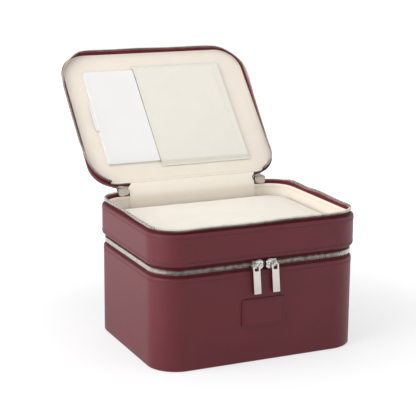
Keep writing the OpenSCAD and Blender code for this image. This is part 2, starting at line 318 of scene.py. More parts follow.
def sew(name, grids, material, flat=None, sharp=38, rub=None, flip=False):
    """A mesh from grids of points in millimetres, each (..., rows, columns, xyz).

    Every four neighbours make a quad that faces rows x columns, or the other way with flip.
    Edges that meet are sewn and rings of no size become poles. The map 'hide' holds each
    corner's place on the flat material in millimetres: the run along rows and columns, or
    flat, given for each point. The point attribute of wear and painted light is 0, or up to 1
    where a material lightens an edge, for wear and a painted highlight, or darkens a face as
    painted shade."""
    grids = grids if isinstance(grids, list) else [grids]
    flats = flat if isinstance(flat, list) else [flat] * len(grids)
    wear_and_painted_light_each = rub if isinstance(rub, list) else [rub] * len(grids)
    verts, quads, maps, worn, count = [], [], [], [], 0
    for grid, own_flat, own_wear_and_painted_light in zip(grids, flats, wear_and_painted_light_each):
        grid = np.asarray(grid, float)
        rows, columns = grid.shape[-3:-1]
        blocks = grid.reshape(-1, rows, columns, 3)
        i, j = np.meshgrid(np.arange(rows - 1), np.arange(columns - 1), indexing="ij")
        first = (i * columns + j).reshape(-1, 1)
        quad = first + np.array([0, columns, columns + 1, 1])
        block = np.arange(len(blocks))[:, None, None] * rows * columns
        quads.append((quad[None] + block).reshape(-1, 4) + count)
        if own_flat is None:
            u = run_of(np.swapaxes(blocks, 1, 2)).mean(1)[:, :, None] + 0 * blocks[..., 0]
            v = run_of(blocks)
            own_flat = np.stack([u, v], -1)
        maps.append(np.broadcast_to(own_flat, (*blocks.shape[:-1], 2)).reshape(-1, 2))
        worn.append(np.broadcast_to(0.0 if own_wear_and_painted_light is None else own_wear_and_painted_light,
                                    blocks.shape[:-1]).reshape(-1))
        verts.append(blocks.reshape(-1, 3))
        count += rows * columns * len(blocks)
    verts, quads = np.concatenate(verts) * MM, np.concatenate(quads)
    maps, worn = np.concatenate(maps), np.concatenate(worn)
    mesh = bpy.data.meshes.new(name)
    mesh.from_pydata(verts.tolist(), [], quads.tolist())
    hide = mesh.uv_layers.new(name="hide")
    hide.data.foreach_set("uv", maps[quads.reshape(-1)].astype(np.float32).ravel())
    mesh.attributes.new("rub", "FLOAT", "POINT").data.foreach_set("value", worn.astype(np.float32))
    build = bmesh.new()
    build.from_mesh(mesh)
    bmesh.ops.remove_doubles(build, verts=build.verts, dist=2e-6)
    bmesh.ops.dissolve_degenerate(build, dist=1e-7, edges=build.edges)
    build.to_mesh(mesh)
    build.free()
    mesh.shade_smooth()
    mesh.set_sharp_from_angle(angle=math.radians(sharp))
    if flip:
        mesh.flip_normals()
    mesh.materials.append(material)
    thing = bpy.data.objects.new(name, mesh)
    bpy.context.scene.collection.objects.link(thing)
    return thing


def material(name):
    """A new empty material and the Wire that starts its nodes."""
    made = bpy.data.materials.new(name)
    made.use_nodes = True
    made.node_tree.nodes.clear()
    return made, Wire(made.node_tree)


def leather(name, dark, light):
    """Coated leather: two crossing sets of slanted pressed lines over fine pores, soft colour
    clouds, and edges that are lighter and smoother, partly as wear and partly as a painted
    highlight."""
    made, start = material(name)
    hide = start.hide()
    cloud = hide.noise(38.0, 2.0)
    mottle = hide.noise(3.2, 4.0, 0.65)
    drift = hide.noise(7.0, 2.0) * 0.9
    lines, cross = ((hide.along((x, 0.56, 0)) + drift).wave(1.15) for x in (0.83, -0.83))
    press = lines.math("MAXIMUM", lines, cross)
    pores = hide.noise(0.34, 3.0, 0.7)
    height = press * 0.7 + pores * 0.45
    # Lighter, smoother edges: partly wear, partly a painted highlight.
    rub = start.rub()
    tone = cloud * 0.34 + mottle * 0.16 + press * 0.38 + rub * 0.14
    start.skin({
        "Base Color": tone.tint(dark, light),
        "Roughness": 0.42 + mottle * 0.14 - press * 0.06 - rub * 0.07,
        "Specular IOR Level": 0.30,
        "Normal": height.bump(0.085, 0.9)})
    return made


def thread(name, dark, light):
    """Twisted sewing thread: fine slanted plies along each stitch."""
    made, start = material(name)
    hide = start.hide()
    ply = (hide.along((1, 0.8, 0)) + hide.noise(1.4) * 0.3).wave(0.42)
    start.skin({
        "Base Color": (ply * 0.7 + hide.noise(9.0) * 0.3).tint(dark, light),
        "Roughness": 0.62 - ply * 0.12, "Normal": ply.bump(0.06)})
    return made


burgundy = leather("burgundy_leather", (0.060, 0.0066, 0.0096), (0.140, 0.0154, 0.0238))
# The thread is dark partly in its own colour and partly as painted shade of the stitch holes.
dark_thread_with_painted_hole_shade = thread("dark_thread_with_painted_hole_shade", (0.024, 0.0035, 0.005), (0.095, 0.016, 0.022))
case = Outline(CASE_W, CASE_D, CORNER_R)
THREAD_R = 0.38
STITCH = 2.7


def stitch_row(name, places, tangents, normals, thread_look, size=1.0):
    """A row of stitches: each is a thread that rises from its hole, lies along the seam and dips
    again. Its radius and height fall off as 1 - a^4 and 1 - a^2 with a from -1 to 1 along it."""
    a = np.linspace(-1, 1, 5)[:, None]
    around = np.linspace(0, 2 * math.pi, 7)
    ring = np.sqrt(np.maximum(1 - a ** 4, 0.0)) * THREAD_R * size
    along = a * (0.40 * STITCH * size) + 0 * around
    up = 0.30 * size * (1 - a ** 2) - 0.16 + ring * np.cos(around) * 0.8
    side = ring * np.sin(around) + a * 0.22 * size
    across = np.cross(normals, tangents)
    shape = (places[:, None, None] + along[..., None] * tangents[:, None, None]
             + up[..., None] * normals[:, None, None] + side[..., None] * across[:, None, None])
    return sew(name, shape, thread_look, sharp=60)


def stitches_round(name, outline, out, z, thread_look, start=0.0, end=None, size=1.0,
                   shift=lambda points: points):
    """Stitches along an outline at one height, standing outwards."""
    pitch = STITCH * size
    end = outline.length if end is None else end
    s = np.arange(start + pitch / 2, end, pitch)
    places, ahead, away = (shift(outline.carry(s + on, [(out + off, z)])[:, 0])
                           for on, off in ((0, 0), (0.2, 0), (0, 1.0)))
    tangents = (ahead - places) / np.linalg.norm(ahead - places, axis=1)[:, None]
    return stitch_row(name, places, tangents, away - places, thread_look, size)


def padded_wall(out, inner, z0, z1, roll, seams, belly=0.0):
    """Closed profile of a leather wall: rolled in over a quarter ellipse at both edges, a slight
    belly between, and a shallow groove at each seam."""
    quarter = np.linspace(0, math.pi / 2, 7)
    wide = out - inner
    low = np.stack([inner + wide * np.sin(quarter), z0 + roll * (1 - np.cos(quarter))], -1)
    fine = np.concatenate([s + np.linspace(-2.4, 2.4, 13) for s in seams])
    z = np.unique(np.round(np.concatenate([np.linspace(z0 + roll, z1 - roll, 12)[1:-1], fine]), 3))
    z = z[(z > z0 + roll + 0.2) & (z < z1 - roll - 0.2)]
    share = (z - z0) / (z1 - z0)
    x = out + belly * 4 * share * (1 - share)
    for seam in seams:
        x = x - 0.09 * np.exp(-((z - seam) / 0.6) ** 2)
    high = np.stack([inner + wide * np.cos(quarter), z1 - roll * (1 - np.sin(quarter))], -1)
    inside = np.stack([np.full(4, inner), np.linspace(z1, z0, 6)[1:-1]], -1)
    return np.concatenate([low, np.stack([x, z], -1), high, inside, low[:1]])


def edge_wear_and_painted_highlight(profile, z0, z1, reach):
    """Edge wear and a painted highlight along a wall's two edges, falling off over a reach."""
    z = profile[:, 1]
    return np.clip(1 - (z - z0) / reach, 0, 1) ** 2 + np.clip(1 - (z1 - z) / reach, 0, 1) ** 2


s_case = case.steps(STEP)
base_seam = BASE_TOP - 5.2
base_profile = padded_wall(out=0.0, inner=-2.1, z0=0.0, z1=BASE_TOP, roll=1.9, seams=[base_seam])
base_wall = sew("base_wall", case.carry(s_case, base_profile), burgundy,
                rub=edge_wear_and_painted_highlight(base_profile, 0, BASE_TOP, reach=3.4))
own(base_wall, "base", "burgundy_leather", "base_shell")
base_stitches = stitches_round("base_stitches", case, -0.03, base_seam, dark_thread_with_painted_hole_shade)
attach(base_stitches, "base")


# ---------------------------------------------------------------- Bottom panel
# A flat leather-covered board under the base, set in from the wall with a narrow seam all
# round. Its edge is rounded over.

BOTTOM_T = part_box("base_bottom_panel")[1].z / MM


def slab(outline, inset, z0, z1, edge, crown=0.0, centre=(0.0, 0.0), rings=9):
    """A closed slab on an outline: flat underneath, rounded over by edge at the top rim, and
    raised towards the middle by crown."""
    s = outline.steps(2.5 if outline.length > 400 else outline.length / 160)
    bend = np.linspace(0, math.pi / 2, 5)
    rim = [(-inset - edge * (1 - math.cos(b)), z1 - edge * (1 - math.sin(b))) for b in bend]
    side = outline.carry(s, [(-inset - 0.3, z0), (-inset, z0 + 0.3), *rim])
    return filled(side, z0, z1, rings, centre, crown)


bottom_grid = slab(case, inset=2.2, z0=0.0, z1=BOTTOM_T, edge=0.6)
bottom = sew("bottom_panel", bottom_grid * [1, 1, -1] + [0, 0, BOTTOM_T], burgundy,
             flat=bottom_grid[..., :2], flip=True)
own(bottom, "base", "burgundy_leather", "base_bottom_panel")


# ---------------------------------------------------------------- Base lining and floor pad
# Cream lining cloth, brushed and matt, glued to stiff board inside the base and folded over
# the board's top edge into a soft bead. A padded mat of the same cloth lies on the floor.

def matt(nap, colour, relief):
    """The sockets of a matt cloth with a nap, its colour and the relief under the nap."""
    return {"Base Color": colour, "Roughness": 0.86 + nap * 0.1, "Specular IOR Level": 0.25,
            "Sheen Weight": 0.12, "Sheen Roughness": 0.5,
            "Normal": (nap * 0.6 + relief).bump(0.07, 0.7)}


def brushed_cloth(name, dark, light, rib=0.0):
    """Brushed lining cloth: a very fine nap, faint long folds, and a plain weave as deep as rib."""
    made, start = material(name)
    hide = start.hide()
    nap = hide.noise(0.5, 4.0, 0.7)
    fold = hide.noise(26.0, 2.0)
    rub = start.rub()
    weave = hide.along((1, 0, 0)).wave(0.55) * 0.5 + hide.along((0, 1, 0)).wave(0.55) * 0.5
    # Where the attribute is set, the bead is made lighter in colour.
    tone = nap * 0.4 + fold * 0.4 + rub * 0.3
    start.skin(matt(nap, tone.tint(dark, light), fold * 1.2 + weave * rib))
    return made


cream = brushed_cloth("cream_lining", (0.73, 0.665, 0.575), (0.86, 0.80, 0.715))
cream_thread = thread("cream_thread", (0.50, 0.37, 0.29), (0.74, 0.60, 0.48))
BOARD_IN = 2.9
ROOM_IN = 5.9


def lining_profile(z0, z1):
    """Closed profile of a lined wall: down the outside of the board, up the room side, and a
    bead at the top whose outer half lies on the zip tape."""
    bead = np.linspace(0, math.pi, 9)
    mid, half = -(BOARD_IN + ROOM_IN) / 2, (ROOM_IN - BOARD_IN) / 2
    top = np.stack([mid + half * np.cos(bead), z1 - 1.1 + 1.1 * np.sin(bead)], -1)
    room = np.stack([np.full(10, -ROOM_IN), np.linspace(z1 - 1.6, z0, 10)], -1)
    back = np.array([(-BOARD_IN - 2.3, z0), (-BOARD_IN - 2.2, z1 - 3.0), (-BOARD_IN, z1 - 2.4)])
    return np.concatenate([top, room, back, top[:1]])


def lined_wall(name, z0, z1, body, node):
    """A lined wall all round the case, its bead made a little lighter in colour."""
    profile = lining_profile(z0, z1)
    bead = np.clip(1 - (z1 - profile[:, 1]) / 1.6, 0, 1)
    wall = sew(name, case.carry(s_case, profile), cream, rub=bead)
    own(wall, body, "cream_lining", node)


lined_wall("base_lining_wall", 4.0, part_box("base_lining")[1].z / MM, "base", "base_lining")


def puff(thing, voxel, pressure, cap, frames=20):
    """Blows a closed piece up a little like a stuffed cushion: remeshed, run as cloth with no
    weight, and no point moved further than cap."""
    look = thing.data.materials[0]
    remesh = thing.modifiers.new("remesh", "REMESH")
    remesh.mode = "VOXEL"
    remesh.voxel_size = voxel
    remesh.use_smooth_shade = True
    bake_modifiers(thing)
    rest = np.zeros(len(thing.data.vertices) * 3)
    thing.data.vertices.foreach_get("co", rest)
    cloth = thing.modifiers.new("cloth", "CLOTH")
    cloth.settings.use_pressure = True
    cloth.settings.uniform_pressure_force = pressure
    cloth.settings.quality = 5
    cloth.settings.effector_weights.gravity = 0
    cloth.point_cache.frame_start = 1
    cloth.point_cache.frame_end = frames
    for number in range(1, frames + 1):
        bpy.context.scene.frame_set(number)
    bake_modifiers(thing)
    bpy.context.scene.frame_set(1)
    swollen = np.zeros_like(rest)
    thing.data.vertices.foreach_get("co", swollen)
    move = (swollen - rest).reshape(-1, 3)
    far = np.linalg.norm(move, axis=1)[:, None]
    move *= np.minimum(1, cap / np.maximum(far, 1e-9))
    thing.data.vertices.foreach_set("co", (rest.reshape(-1, 3) + move).ravel())
    thing.data.materials.clear()
    thing.data.materials.append(look)
    soften = thing.modifiers.new("soften", "SUBSURF")
    soften.levels = soften.render_levels = 1
    bake_modifiers(thing)
    thing.data.shade_smooth()


def bake_modifiers(thing):
    """Replaces a piece's mesh by what its modifiers make of it."""
    depsgraph = bpy.context.evaluated_depsgraph_get()
    result = bpy.data.meshes.new_from_object(thing.evaluated_get(depsgraph))
    thing.modifiers.clear()
    thing.data = result


def nap_cloth(name, dark, light):
    """The lining cloth for padded pieces, which have no map: the same nap on Object coordinates."""
    made, start = material(name)
    here = start.place()
    nap = here.noise(0.5 * MM, 4.0, 0.7)
    fold = here.noise(30 * MM, 2.0)
    start.skin(matt(nap, (nap * 0.4 + fold * 0.5).tint(dark, light), fold * 1.4))
    return made


cream_nap = nap_cloth("cream_padding_cloth", (0.72, 0.67, 0.59), (0.84, 0.795, 0.72))
floor_low, floor_high = corners("base_floor_pad")
floor_pad = sew("base_floor_mat", slab(case, inset=ROOM_IN + 1.0, z0=floor_low.z,
                                       z1=floor_high.z - 1.4, edge=1.6, crown=0.9), cream_nap)
puff(floor_pad, voxel=4.5 * MM, pressure=3.0, cap=0.9 * MM)
own(floor_pad, "base", "cream_lining", "base_floor_pad")


# ---------------------------------------------------------------- Front patch
# A blank label of the same leather, its edges turned under, sewn to the front with a fine
# row of stitches just inside its edge.

patch_low, patch_high = corners("front_patch")
patch_w, patch_h = patch_high.x - patch_low.x, patch_high.z - patch_low.z
patch_z = (patch_high.z + patch_low.z) / 2
patch_plan = Outline(patch_w, patch_h, 2.5)


def on_the_front(points):
    """Stands a flat piece up against the front wall: its plan's y goes up and its z outwards."""
    x, y, z = np.moveaxis(points, -1, 0)
    return np.stack([x, patch_low.y + (1.4 - z), y + patch_z], -1)


patch_grid = slab(patch_plan, inset=0.0, z0=-0.3, z1=1.7, edge=0.55, crown=0.2, rings=12)
patch = sew("front_label", on_the_front(patch_grid), burgundy, flat=patch_grid[..., :2])
own(patch, "base", "burgundy_leather", "front_patch")
patch_stitches = stitches_round("front_label_stitches", Outline(patch_w - 5, patch_h - 5, 1.2),
                                0.0, 1.84, dark_thread_with_painted_hole_shade, size=0.72, shift=on_the_front)
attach(patch_stitches, "base")


# ---------------------------------------------------------------- Lower zip
# A metal zip round three sides. Each half is a woven tape, sewn in behind the leather's
# rolled edge, with a row of single teeth clamped on its edge. The two rows interleave, and
# part a little between the two sliders at the front.

PITCH = 2.54
TOOTH_H = 3.55
ZIP_IN = 2.5       # the zip's middle plane stands this far inside the wall
GAP_HALF = 6.5     # from the chain's middle to the leather's edge on either side
ROOT_OFF = 2.75    # from the chain's middle to the roots of a row
GRIP = 1.6         # how far the tape reaches into the roots
TAPE_DEEP = 11.5   # how far the tape goes down behind the leather
ZIP1_Z = BASE_TOP + GAP_HALF
BACK_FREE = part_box("base_zip_stops")[1].x / MM
zip_start, zip_end = BACK_FREE, case.length - BACK_FREE


def woven_tape(name, dark, light):
    """Zip tape: a close twill whose fine ribs run slantwise, darker between the ribs, and dark on
    its outer face as painted shade of the gap it lies in, where the attribute is 1."""
    made, start = material(name)
    hide = start.hide()
    twill = (hide.along((1, 1.15, 0)) + hide.noise(2.0) * 0.12).wave(0.62)
    ribs = hide.along((0, 1, 0)).wave(0.8)
    cloud = hide.noise(14.0)
    # Painted shade: the outer face is dark, as if shadowed in the gap between leather and teeth.
    outside = start.rub()
    tone = (twill * 0.45 + cloud * 0.35 + ribs * 0.2) * (1 - outside) - outside * 0.25
    start.skin({
        "Base Color": tone.tint(dark, light),
        "Roughness": 0.78 - twill * 0.1, "Specular IOR Level": 0.15, "Sheen Weight": 0.03,
        "Normal": (twill + ribs * 0.5).bump(0.06)})
    return made


def zip_metal(name, dark, light, rough=0.2):
    """Bright nickel plating: cloudy polish, hair scratches, and duller, darker low spots."""
    made, start = material(name)
    here = start.place()
    cloud = here.noise(5 * MM, 2.0)
    stretched = here.put("ShaderNodeMapping", (), {"Vector": here, "Scale": (1, 1, 9)})
    hair = stretched.noise(0.7 * MM, 2.0, 0.7)
    start.skin({
        "Base Color": (cloud * 0.6 + hair * 0.4).tint(dark, light), "Metallic": 1.0,
        "Roughness": cloud * 0.12 + hair * 0.1 + rough - 0.08,
        "Normal": hair.bump(0.012)})
    return made


tape_cloth = woven_tape("burgundy_tape", (0.060, 0.007, 0.010), (0.19, 0.022, 0.031))
nickel = zip_metal("zip_nickel", (0.45, 0.425, 0.39), (0.78, 0.75, 0.70), 0.24)


def tape(name, s, lean, z_low, z_high, body, node, shift=lambda points: points):
    """Zip tape: a thin closed strip along the case, from z_low to z_high at each place, that
    leans outwards by lean."""
    half = 0.3
    ones = np.ones((len(s), 1))
    share = np.array([0, 0, 0.33, 0.66, 1, 1, 0.66, 0.33, 0])
    side = np.array([-1, 1, 1, 1, 1, -1, -1, -1, -1]) * half
    low, high, out = (np.reshape(value, (-1, 1)) * ones for value in (z_low, z_high, lean))
    profile = np.stack([out - ZIP_IN + side, low * (1 - share) + high * share], -1)
    # The outer face is marked for the tape's painted shade.
    strip = sew(name, with_ends(shift(case.carry(s, profile))), tape_cloth, rub=side > 0)
    own(strip, body, "zip_tape", node)


def teeth(name, s, lean, z_root, up, body, node, shift=lambda points: points):
    """One row of teeth: each is a rounded bar that grips the tape at its root, has a waist and
    ends in a rounded head. up is +1 where the heads point up and -1 where they point down."""
    high = np.array([0.0, 0.0, 0.25, 2.15, 2.75, 3.3, TOOTH_H, TOOTH_H])
    wide = np.array([0.0, 0.42, 0.50, 0.50, 0.38, 0.49, 0.34, 0.0])
    thick = np.array([0.0, 1.00, 1.25, 1.25, 0.85, 1.05, 0.70, 0.0])
    around = np.linspace(0, 2 * math.pi, 9) + math.pi / 8
    ones = np.ones_like(s)
    root = case.carry(s, [(0.0, 0.0)])[:, 0]
    normal = case.normal(s)
    ahead = np.stack([-normal[:, 1], normal[:, 0], 0 * s], -1)
    t = wide[:, None] * np.cos(around) * 1.06 * up
    n = thick[:, None] * np.sin(around) * 1.06
    shape = (root[:, None, None] + t[..., None] * ahead[:, None, None]
             + ((lean * ones - ZIP_IN)[:, None, None] + n)[..., None] * normal[:, None, None])
    shape[..., 2] = (z_root * ones)[:, None, None] + up * high[:, None]
    own(sew(name, shift(shape), nickel, sharp=50), body, "zip_metal", node)


def part_between_sliders(s):
    """How far the two rows stand apart: a short gap at the front, between the two sliders."""
    front = (zip_start + zip_end) / 2
    return 0.9 * np.exp(-(((s - front) / 2.2) ** 2))


s_teeth = np.arange(zip_start + 2.2, zip_end - 2.2, PITCH)
s_between = s_teeth + PITCH / 2
s_tape = case.steps(STEP, zip_start, zip_end)
BAND_LOW, BAND_HIGH = corners("band_shell")
roots = ZIP1_Z - ROOT_OFF
tape("base_zip_ribbon", s_tape, 0.0, BASE_TOP - TAPE_DEEP, roots + GRIP, "base", "base_zip_tape")
teeth("base_zip_teeth_row", s_teeth, 0.0, roots - part_between_sliders(s_teeth), 1, "base",
      "base_zip_teeth")
roots = ZIP1_Z + ROOT_OFF
tape("band_lower_zip_ribbon", s_tape, 0.0, roots - GRIP, BAND_LOW.z + TAPE_DEEP, "band",
     "band_lower_tape")
teeth("band_lower_zip_teeth_row", s_between, 0.0, roots + part_between_sliders(s_between), -1,
      "band", "band_lower_teeth")


# ---------------------------------------------------------------- Tray band wall
# The shallow band that holds the tray, a little wider than the base. Its leather lies over
# thin foam and is rolled in at both edges, with a row of stitches inside each edge.

OVER = BAND_HIGH.x - CASE_W / 2
band_seams = [BAND_LOW.z + 4.6, BAND_HIGH.z - 4.9]
band_profile = padded_wall(out=OVER, inner=-2.15, z0=BAND_LOW.z, z1=BAND_HIGH.z, roll=2.0,
                           seams=band_seams, belly=0.05)
band_wall = sew("band_wall", case.carry(s_case, band_profile), burgundy,
                rub=edge_wear_and_painted_highlight(band_profile, BAND_LOW.z, BAND_HIGH.z, reach=3.6))
own(band_wall, "band", "burgundy_leather", "band_shell", "band_foam")
for label, seam in zip(("low", "high"), band_seams):
    row = stitches_round(f"band_stitches_{label}", case, OVER + 0.03, seam, dark_thread_with_painted_hole_shade)
    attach(row, "band")

lined_wall("band_lining_wall", BAND_LOW.z + 3, BAND_HIGH.z + 0.3, "band", "band_lining")
bead_stitches = stitches_round("band_lining_stitches", case, -ROOM_IN - 0.12, BAND_HIGH.z - 3.6,
                               cream_thread, size=0.62)
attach(bead_stitches, "band")


# ---------------------------------------------------------------- Tray floor and underside
# The tray's floor is lined board. Its underside, the ceiling of the base, is covered in
# the same cream cloth.

under_low, under_high = corners("band_underside")
under_grid = slab(case, inset=BOARD_IN, z0=0.0, z1=under_high.z - under_low.z, edge=0.5)
underside = sew("tray_underside", under_grid * [1, 1, -1] + [0, 0, under_high.z], cream,
                flat=under_grid[..., :2], flip=True)
own(underside, "band", "cream_lining", "band_underside")
floor_box_low, floor_box_high = corners("band_floor")
tray_grid = slab(case, inset=5.0, z0=floor_box_low.z, z1=floor_box_high.z, edge=0.3)
tray_floor = sew("tray_floor", tray_grid, cream, flat=tray_grid[..., :2])
own(tray_floor, "band", "cream_lining", "band_floor")


# ---------------------------------------------------------------- Tray dividers
# Thin boards wrapped in the lining cloth part the tray into a ring bay and compartments.
# Their top edges are rounded where the cloth goes over.

divider_low, divider_high = corners("tray_dividers")
RAIL_T = 2.4
RAIL_Y = 18.0


def rail(start, end, low, high):
    """A cloth-covered board from start to end on the plan: a profile whose top is half a round,
    carried in a straight line."""
    start, end = np.array(start, float), np.array(end, float)
    ahead = (end - start) / np.linalg.norm(end - start)
    side = np.array([ahead[1], -ahead[0]])
    arch = np.linspace(0, math.pi, 9)
    half = RAIL_T / 2
    across = np.concatenate([[half], half * np.cos(arch), [-half, half]])
    up = np.concatenate([[low], high - half + half * np.sin(arch), [low, low]])
    share = np.linspace(0, 1, 24)
    centre = start + share[:, None] * (end - start)
    plan = centre[:, None] + across[:, None] * side
    up = np.broadcast_to(up[:, None], (*plan.shape[:2], 1))
    return with_ends(np.concatenate([plan, up], -1))


room = (divider_high.x - 0.2, divider_high.y - 0.2)
rails = [rail((-room[0], RAIL_Y + 1.2), (room[0], RAIL_Y + 1.2), divider_low.z, divider_high.z)]
rails.append(rail((21.2, RAIL_Y + 2.4), (21.2, room[1]), divider_low.z, divider_high.z))
for x in (-62, 0, 62):
    rails.append(rail((x, -room[1]), (x, RAIL_Y), divider_low.z, divider_high.z))
dividers = sew("tray_rails", rails, cream)
own(dividers, "band", "cream_lining", "tray_dividers")


# ---------------------------------------------------------------- Ring rolls
# Five padded rolls of the lining cloth lie side by side, so that a ring's band is held
# between two of them.

roll_low, roll_high = corners("ring_rolls")
ROLLS = 5
roll_r = (roll_high.z - roll_low.z) / 2
roll_pitch = (roll_high.y - roll_low.y - 2 * roll_r) / (ROLLS - 1)


def roll(y):
    """One roll: circles along x whose radius closes at the ends as (1 - a^8)^(1/2), a from -1
    to 1, with two soft tucks where the cloth is caught down."""
    a = np.sin(np.linspace(-math.pi / 2, math.pi / 2, 42))
    middle, half = (roll_low.x + roll_high.x) / 2, (roll_high.x - roll_low.x) / 2
    radius = (roll_r - 0.5) * np.sqrt(1 - a ** 8) * (1 - 0.05 * np.cos(a * math.pi * 5) ** 8)
    around = np.linspace(0, 2 * math.pi, 25)
    side = y - radius[:, None] * np.cos(around)
    up = roll_low.z + roll_r + radius[:, None] * np.sin(around)
    return np.stack([np.broadcast_to((middle + half * a)[:, None], up.shape), side, up], -1)


ring_rolls = sew("ring_bay_rolls", [roll(roll_low.y + roll_r + roll_pitch * k)
                                    for k in range(ROLLS)], cream_nap)
puff(ring_rolls, voxel=4 * MM, pressure=2.0, cap=0.4 * MM)
own(ring_rolls, "band", "cream_lining", "ring_rolls")


# ---------------------------------------------------------------- Padded cover
# A loose flat cover that lies on the dividers: board with thin foam under taut cream cloth,
# its edges rounded over, lifted out by hand.

cover_high = corners("cover_pad")[1]
COVER_IN = CASE_W / 2 - cover_high.x
board_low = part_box("cover_board")[0].z / MM
cover = sew("tray_cover", slab(case, inset=COVER_IN - 0.7, z0=board_low, z1=cover_high.z - 0.5,
                               edge=2.6, crown=0.5, rings=12), cream_nap)
puff(cover, voxel=4 * MM, pressure=3.0, cap=0.5 * MM)
own(cover, "cover", "cream_lining", "cover_pad", "cover_board")


# ---------------------------------------------------------------- Upper zip, tray side
# The same zip as below, open here: its lower half stands up round the tray's rim, a little
# wavy, with the teeth free along its edge.

ZIP2_Z = BAND_HIGH.z + GAP_HALF
WAVE_LOW = 330.0
SETTLE = 130.0


def smooth(x):
    """0 below 0, 1 above 1 and a smooth step in between."""
    x = np.clip(x, 0, 1)
    return x * x * (3 - 2 * x)


def loose(s):
    """How free the row is: 0 at its two ends and 1 from SETTLE inwards."""
    return np.clip(np.minimum(s - zip_start, zip_end - s) / SETTLE, 0, 1)


def sag(s):
    """How far the free row stands off its straight line: low at the front left corner, high at
    the right and the back, with a short ripple. The ends stay put."""
    swell = 0.25 - 1.35 * np.cos(2 * math.pi * (s - WAVE_LOW) / case.length)
    ripple = 0.28 * np.sin(2 * math.pi * s / 88.0 + 0.6)
    return (swell + ripple) * smooth(loose(s))


def lean(s):
    """How far the free edge leans out or in."""
    rear_left = 0.6 * np.exp(-((s - 133.0) / 26.0) ** 2)
    right_kink = -2.2 * np.exp(-((s - 668.0) / 15.0) ** 2)
    return 0.55 * np.sin(2 * math.pi * s / 131.0 + 1.1) * loose(s) + rear_left + right_kink


roots = ZIP2_Z - ROOT_OFF
tape("band_upper_zip_ribbon", s_tape, lean(s_tape) * 0.5, BAND_HIGH.z - TAPE_DEEP,
     roots + sag(s_tape) + GRIP, "band", "band_upper_tape")
teeth("band_upper_zip_teeth_row", s_teeth, lean(s_teeth), roots + sag(s_teeth), 1, "band",
      "band_upper_teeth")


# ---------------------------------------------------------------- Lid
# A shallow padded lid in the same leather, strongly rounded at its outer edge. It is
# described shut, as it is made, and then turned open about the fold behind the tray.

HINGES = {joint["name"]: joint for joint in frame["joints"]}
FOLD = np.array(HINGES["lid_hinge"]["pos_m"]) / MM
LID_ANGLE = math.radians(HINGES["lid_hinge"]["range_deg"][0])
LID_Z = ZIP2_Z + GAP_HALF
LID_H = 10.8       # height of the leather's rim, to which the crown adds
LID_CROWN = 1.2
RIM_IN = 2.1       # where the leather turns in under the wall


def opened(points):
    """Turns points of the shut lid about the fold: y and z by the opening angle."""
    rel = np.asarray(points) - FOLD
    c, s = math.cos(LID_ANGLE), math.sin(LID_ANGLE)
    y, z = rel[..., 1] * c - rel[..., 2] * s, rel[..., 1] * s + rel[..., 2] * c
    return np.stack([rel[..., 0], y, z], -1) + FOLD


def domed_lid():
    """The lid's leather, shut. Its wall turns out of the rim, slopes inwards on three sides and
    stands straight at the back, where the hinge flap is sewn. Above it come a rounded shoulder
    and a top that rises to the middle as 1 - k^3. It is closed underneath."""
    bend = np.linspace(0, math.pi / 2, 9)
    swing, climb = np.sin(bend), 1 - np.cos(bend)

    def turn_up(out, z, wide, high):
        return np.stack([out + wide * swing, z + high * climb], -1)

    def turn_in(out, z, wide):
        return np.stack([out - wide * climb, z + (LID_H - z) * swing], -1)

    rim = np.stack([np.full(4, -RIM_IN), np.linspace(3.0, 0.2, 4)], -1)
    back = np.concatenate([rim, turn_up(-RIM_IN, 0, 2.5, 1.6),
                           turn_up(0.4, 1.6, OVER - 0.4, 3.2)[1:], turn_in(OVER, 4.8, 9.0)[1:]])
    slope = [-1.0, 1.1] + np.linspace(0, 1, 9)[:, None] * [-1.7, 5.7]
    free = np.concatenate([rim, turn_up(-RIM_IN, 0, 1.1, 1.1), slope[1:],
                           turn_in(-2.7, 6.8, 8.6)[1:]])
    off_back = smooth((np.minimum(s_case, case.length - s_case) - 84) / 24)[:, None, None]
    side = case.carry(s_case, back + (free - back) * off_back + [0, LID_Z])
    return filled(side, LID_Z + 3.0, LID_Z + LID_H, 14, crown=LID_CROWN, power=3)


lid_grid = domed_lid()
# The leather is lighter and smoother along the lid's rim, partly as wear and partly as a painted
# highlight.
lid_wear_and_painted_highlight = np.clip(1 - np.abs(lid_grid[..., 2] - LID_Z - 0.6) / 1.6, 0, 1) ** 2
lid = sew("lid_leather", opened(lid_grid), burgundy, flat=lid_grid[..., :2], rub=lid_wear_and_painted_highlight)
own(lid, "lid", "burgundy_leather", "lid_shell", "lid_foam")
lid_stitches = stitches_round("lid_stitches", case, -1.75, LID_Z + 4.0, dark_thread_with_painted_hole_shade, 112.0,
                              case.length - 112.0, shift=opened)
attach(lid_stitches, "lid")


# ---------------------------------------------------------------- Lid lining
# A lined board fills the lid's underside. The cloth is folded over the board's edge, which
# stands up as a thin bead, with a fine row of stitches inside it.

def lid_lining_grid():
    """The lining, shut and facing down: a bead round the edge, then flat to the middle with a
    slight crown."""
    bend = np.linspace(-math.pi / 2, math.pi / 2, 7)
    bead = np.stack([-BOARD_IN - 0.9 + 0.9 * np.cos(bend),
                     LID_Z + 0.5 - 0.9 * np.sin(bend)], -1)
    flat = np.array([(-BOARD_IN - 1.6, LID_Z - 0.3), (-BOARD_IN - 2.1, LID_Z - 0.05)])
    side = case.carry(s_case, np.concatenate([bead, flat]))
    return filled(side, LID_Z + 1.4, LID_Z - 0.05, 16, crown=-0.5)


lining_grid = lid_lining_grid()
lid_lining = sew("lid_lining_panel", opened(lining_grid), cream, flat=lining_grid[..., :2],
                 flip=True)
own(lid_lining, "lid", "cream_lining", "lid_lining")


